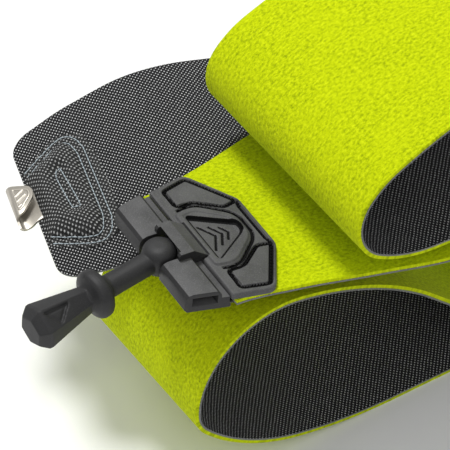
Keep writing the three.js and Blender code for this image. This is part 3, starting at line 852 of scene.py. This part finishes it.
def hex_ring(x, flat, count=72, round_off=0.08):
    """A six-sided section with softened corners, flat on top and bottom; flat is its half height."""
    a = np.linspace(0, 2 * math.pi, count, endpoint=False)
    sector = math.pi / 3
    local = a % sector - sector / 2
    r = flat / np.cos(local) * (1 - round_off) + round_off * flat * 1.06
    return np.stack([np.full(count, x), r * np.sin(a + sector / 2), r * np.cos(a + sector / 2)], axis=1)


def filled(profile, spacing=0.45):
    """A profile of rows, with more rows laid evenly between those given."""
    rows = []
    for first, second in zip(profile[:-1], profile[1:]):
        first, second = np.array(first, float), np.array(second, float)
        count = max(2, int(abs(second[0] - first[0]) / spacing))
        rows += [first + (second - first) * u for u in np.linspace(0, 1, count)[:-1]]
    return rows + [np.array(profile[-1], float)]


def build_toggle():
    stub = [(-2, 4.1), (-18, 4.1), (-23.0, 4.2), (-24.2, 4.9), (-25.0, 6.4), (-25.7, 7.7), (-26.6, 8.5),
            (-27.8, 8.8), (-29.2, 8.8), (-30.2, 8.5), (-31.1, 7.7), (-31.7, 6.4), (-32.4, 5.2), (-33.2, 4.6)]
    shaft = loft("toggle_shaft", [ring_points(x, r, r, 2.3) for x, r in reversed(stub)], RUBBER)
    grip = [(-31.0, 4.4), (-33.4, 4.6), (-43, 6.1), (-52.2, 7.6), (-53.4, 7.5), (-56.2, 5.5), (-56.6, 5.0)]
    body = loft("toggle_grip", [hex_ring(x, flat) for x, flat in reversed(filled(grip))], RUBBER)
    press_pocket(body)
    body.data.transform(Matrix.Rotation(GRIP_TURN, 4, "X"))
    knob = []
    for a in np.linspace(-math.pi / 2, math.pi / 2, 26)[1:-1]:
        z = math.sin(a)
        r = KNOB_RADIUS * (1 - abs(z) ** 3) ** (1 / 3)
        turn = np.linspace(0, 2 * math.pi, 64, endpoint=False)
        knob.append(np.stack([r * np.cos(turn), r * np.sin(turn), np.full(64, KNOB_RISE * z)], axis=1))
    for part in (shaft, body):
        part.data.transform(Matrix.Rotation(BEND, 4, "Z"))
    union = merge("rubber_toggle_moulding", [loft("toggle_knob", knob, RUBBER), shaft, body], 0.26)
    droop = Matrix.Translation(Vector((PIN_X, 0, PIN_Z)) * MM) @ Matrix.Rotation(-DROOP, 4, "Y")
    put(union, "toggle", "rubber", "rubber_toggle", matrix=TIP_FRAME @ droop)


def press_pocket(body):
    """The triangular thumb pocket, in the grip's upper face before the grip is turned."""
    outline = rounded_outline([(-52.6, 3.3, 1.2), (-40.5, 2.4, 1.4), (-47.5, -3.6, 1.4)])
    co = np.array([v.co for v in body.data.vertices]) / MM
    inside = inside_distance(co[:, :2], outline)
    depth = (1.1 * step(inside, 0.0, 0.4) - 0.3 * step(inside, 1.0, 1.6)) * (co[:, 2] > 2.5)
    for v, d in zip(body.data.vertices, depth):
        v.co.z -= d * MM


def merge(name, parts, voxel):
    """One watertight body out of overlapping ones, remeshed and smoothed."""
    bm = bmesh.new()
    for part in parts:
        bm.from_mesh(part.data)
        bpy.data.objects.remove(part)
    mesh = bpy.data.meshes.new(name)
    bm.to_mesh(mesh)
    bm.free()
    mesh.materials.append(RUBBER)
    obj = bpy.data.objects.new(name, mesh)
    bpy.context.scene.collection.objects.link(obj)
    remesh = obj.modifiers.new("remesh", "REMESH")
    remesh.mode = "VOXEL"
    remesh.voxel_size = voxel * MM
    remesh.use_smooth_shade = True
    smooth = obj.modifiers.new("smooth", "SMOOTH")
    smooth.factor = 0.5
    smooth.iterations = 2
    apply_modifiers(obj)
    return obj


build_toggle()

# ---- tail: patch, pad, stitches and hook ---------------------------------------------------------
FACE = SKIN
PATCH_RISE = 5.0      # height of the padded dome
PATCH_CLOTH = 0.5     # thickness of the patch's cloth
PATCH_OUTLINE = rounded_outline(mirrored([(0.8, 20, 1), (18, 31.5, 6), (28, 27, 5), (30, 12, 2)]), 9)
OUTER_ROW = [(1.6, 19.2), (10, 24.4), (17.5, 28.2), (21.5, 28.2), (24.6, 24.8), (26.2, 19)]
INNER_ROW = [(2.4, 16.6), (10.5, 21.6), (17.0, 25.2), (20.0, 25.2), (22.0, 22.6), (23.4, 17)]


def row_line(row):
    """A U of stitching: in from the tail's end, round the two far corners and back."""
    half = polyline([(x, y) for x, y in row], 8)
    return np.vstack([half, (half * [1, -1])[::-1]])


OUTER_LINE = row_line(OUTER_ROW)
INNER_LINE = row_line(INNER_ROW)
CENTRE_LINE = polyline([(12.6, 7.4), (13.4, 10.2), (14.6, 10.6), (15.4, 9.6), (17.2, -8.6), (16.4, -10.4),
                        (15.0, -10.2), (14.0, -8.4), (12.6, 7.0)], 8)
PAD_OUTLINE = closed(np.vstack([INNER_LINE, [(2.4, -16.6), (2.4, 16.6)]]))[:-1]


def patch_top(p):
    inside = inside_distance(p, PAD_OUTLINE)
    z = FACE + 0.75 + PATCH_RISE * np.sin(np.clip((inside + 0.3) / 8.5, 0, 1) * math.pi / 2) ** 0.8
    centre = line_distance(p, CENTRE_LINE)
    z -= 2.2 * np.exp(-(centre / 2.6) ** 2)
    z -= 0.35 * np.exp(-(min_distance(p, [OUTER_LINE, INNER_LINE]) / 0.8) ** 2)
    pucker = 0.16 * np.sin(p[:, 1] * 1.7) * np.exp(-(min_distance(p, [INNER_LINE]) / 3.0) ** 2)
    edge = inside_distance(p, PATCH_OUTLINE)
    return z + pucker - 0.5 * (1 - step(edge, 0, 0.6))


def on_patch(line, lift):
    """A line on the patch, just above it."""
    return np.column_stack([line, patch_top(line) + lift])


def build_tail():
    patch = moulding(
        "tail_patch_cloth", PATCH_OUTLINE, 0.42, patch_top, lambda p: patch_top(p) - PATCH_CLOTH, [PATCH]
    )
    put(patch, "tail", "patch", "tail_patch", "tail_pad", matrix=TAIL_FRAME)
    for name, line, length, radius in (
        ("outer", OUTER_LINE, 2.1, 0.24), ("inner", INNER_LINE, 2.1, 0.24), ("centre", CENTRE_LINE, 1.8, 0.24)
    ):
        vertices, faces = dashes(on_patch(line, 0.12), length, 0.06, radius, 0.1)
        thread = make_object(f"tail_stitches_{name}", vertices, faces, [GREY_THREAD])
        put(thread, "tail", "tail_thread", f"tail_stitch_{name}", matrix=TAIL_FRAME)


build_tail()
hook = bevelled("tail_hook", "tail_hook_pressing", 0.22, NICKEL, 2, 40)
put(hook, "tail", "nickel", "tail_hook")

# The flap's pressed relief: a raised rim and three plain ribs.
FLAP_TOP = 7.5
HOOK_Y = 2.2
RELIEF = rounded_outline([(-5.0, HOOK_Y + 8.6, 1.4), (1.7, HOOK_Y + 5.0, 1.6), (1.8, HOOK_Y + 1.6, 1.6),
                          (-3.8, HOOK_Y - 4.0, 1.4), (-5.0, HOOK_Y - 3.6, 1.0)])
RIBS = [[(-4.2, HOOK_Y + y - 1.2), (-0.6, HOOK_Y + y + 0.6)] for y in (-0.6, 2.2, 5.0)]


def relief_top(p):
    inside = inside_distance(p, RELIEF)
    rim = 1 - step(np.abs(inside - 0.55), 0.25, 0.55)
    ribs = 1 - step(min_distance(p, RIBS), 0.3, 0.65)
    return FLAP_TOP + 0.02 + 0.3 * np.maximum(rim, ribs * step(inside, 0.5, 1.0))


relief = moulding("hook_relief", RELIEF, 0.2, relief_top, lambda p: np.full(len(p), FLAP_TOP - 0.2), [NICKEL])
put(relief, "tail", "nickel", matrix=TAIL_FRAME)

# ---- floor, light and camera ---------------------------------------------------------------------
CAMERA_AZIMUTH, CAMERA_ELEVATION = math.radians(-34), math.radians(44)
CAMERA_DISTANCE = 1.0
FOCAL_SHARE = 2.67 / 0.45      # focal length over sensor width
AIM = Vector((52.5, 24.9, 66.0))


def build_floor():
    mesh = bpy.data.meshes.new("floor")
    size = 6.0
    corners = [(-size, -size, 0), (size, -size, 0), (size, size, 0), (-size, size, 0)]
    mesh.from_pydata(corners, [], [(0, 1, 2, 3)])
    floor = bpy.data.objects.new("floor", mesh)
    bpy.context.scene.collection.objects.link(floor)
    n = Nodes("floor_white", 0.9, specular=0.1)
    at = n.add("ShaderNodeTexCoord").outputs["Object"]
    n.link(n.mix(n.noise(at, 3.0), (0.93, 0.93, 0.93), (0.95, 0.95, 0.95)), "Base Color")
    mesh.materials.append(n.material)


def area_light(name, location, aim, size, energy):
    data = bpy.data.lights.new(name, "AREA")
    data.shape = "DISK"
    data.size = size
    data.energy = energy
    light = bpy.data.objects.new(name, data)
    light.location = location
    light.rotation_mode = "QUATERNION"
    light.rotation_quaternion = (Vector(aim) - Vector(location)).to_track_quat("-Z", "Y")
    bpy.context.scene.collection.objects.link(light)


def build_light():
    world = bpy.data.worlds.new("studio")
    world.use_nodes = True
    world.node_tree.nodes["Background"].inputs["Color"].default_value = (1, 1, 1, 1)
    world.node_tree.nodes["Background"].inputs["Strength"].default_value = 0.48
    bpy.context.scene.world = world
    aim = (0.0, 0.0, 0.06)
    area_light("key", (-0.10, 0.42, 1.3), aim, 0.36, 13.0)
    area_light("fill", (-0.6, -0.95, 1.1), aim, 0.8, 3.0)


def build_camera():
    back = Vector((
        math.sin(CAMERA_AZIMUTH) * math.cos(CAMERA_ELEVATION),
        -math.cos(CAMERA_AZIMUTH) * math.cos(CAMERA_ELEVATION),
        math.sin(CAMERA_ELEVATION),
    ))
    data = bpy.data.cameras.new("camera")
    data.sensor_width = 36
    data.lens = 36 * FOCAL_SHARE
    data.clip_end = 30
    camera = bpy.data.objects.new("camera", data)
    camera.location = (AIM + Vector(PATH_ZERO)) * MM + back * CAMERA_DISTANCE
    camera.rotation_mode = "QUATERNION"
    camera.rotation_quaternion = (-back).to_track_quat("-Z", "Y")
    bpy.context.scene.collection.objects.link(camera)
    bpy.context.scene.camera = camera


build_floor()
build_light()
build_camera()
bpy.context.scene.view_settings.view_transform = "Standard"
